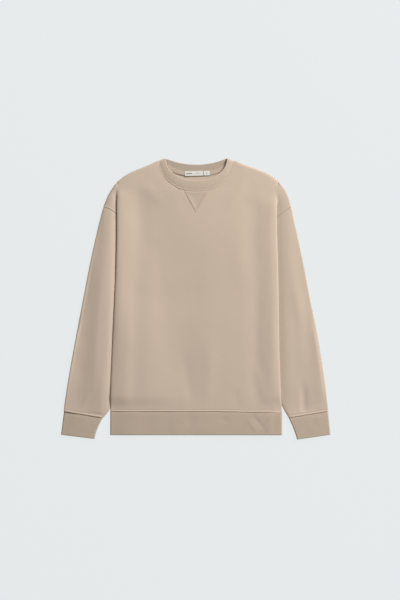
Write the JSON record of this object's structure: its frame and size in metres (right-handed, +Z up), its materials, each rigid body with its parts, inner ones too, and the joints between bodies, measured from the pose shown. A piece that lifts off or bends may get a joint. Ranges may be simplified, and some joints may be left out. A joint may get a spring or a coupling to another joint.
{
  "type": "crewneck sweatshirt",
  "caption": "Long-sleeved sweatshirt with a round rib neck, laid flat, its sides folded over the sleeves.",
  "frame": {"origin": "under the middle of the garment, on the surface that it lies on", "axes": "+X to the wearer's left sleeve, +Y to the neck, +Z up, out of the front"},
  "size_m": [0.6718, 0.7007, 0.0114],
  "materials": {
    "jersey": "brushed sweatshirt jersey, matt",
    "rib": "knitted rib, matt",
    "tape": "herringbone tape, matt",
    "label": "woven satin label, bare"
  },
  "bodies": {
    "root": {"front_panel": "jersey", "back_panel": "jersey", "sleeve_left": "jersey", "sleeve_right": "jersey", "cuff_left": "rib", "cuff_right": "rib", "hem_rib_front": "rib", "hem_rib_back": "rib", "neck_rib": "rib", "neck_triangle": "jersey", "neck_tape": "tape", "label_main": "label", "label_size": "label"}
  },
  "joints": []
}
